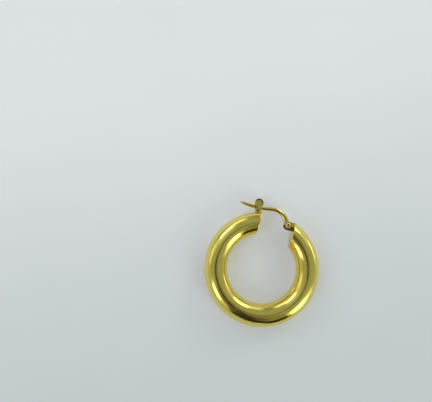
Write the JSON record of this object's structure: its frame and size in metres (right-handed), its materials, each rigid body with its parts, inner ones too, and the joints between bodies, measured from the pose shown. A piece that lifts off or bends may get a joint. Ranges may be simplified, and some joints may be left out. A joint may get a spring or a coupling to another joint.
{
  "type": "hinged hoop earring",
  "caption": "Hoop earring of hollow round tube with a gap at the top, closed by a hinged ear wire that snaps into a forked catch.",
  "frame": {"origin": "bottom centre of the whole earring as it lies on its side", "axes": "+Z along the hoop's axis, upwards; +Y out through the gap between the tube's ends; hinge on the +X side of the gap, catch on the -X side"},
  "size_m": [0.025, 0.0272, 0.005],
  "materials": {
    "polished_gold": "polished yellow gold colour",
    "wire_gold": "polished yellow gold colour, slightly worn",
    "rivet_gold": "polished yellow gold colour"
  },
  "bodies": {
    "hoop": {"hoop": "polished_gold", "hinge_rivet": "rivet_gold"},
    "ear_wire": {"ear_wire": "wire_gold"}
  },
  "joints": [
    {"name": "wire_hinge", "type": "hinge", "parent": "hoop", "child": "ear_wire", "pos_m": [0.00315, 0.00949, 0.0025], "axis": [0, 0, -1], "range_deg": [0, 60]}
  ]
}
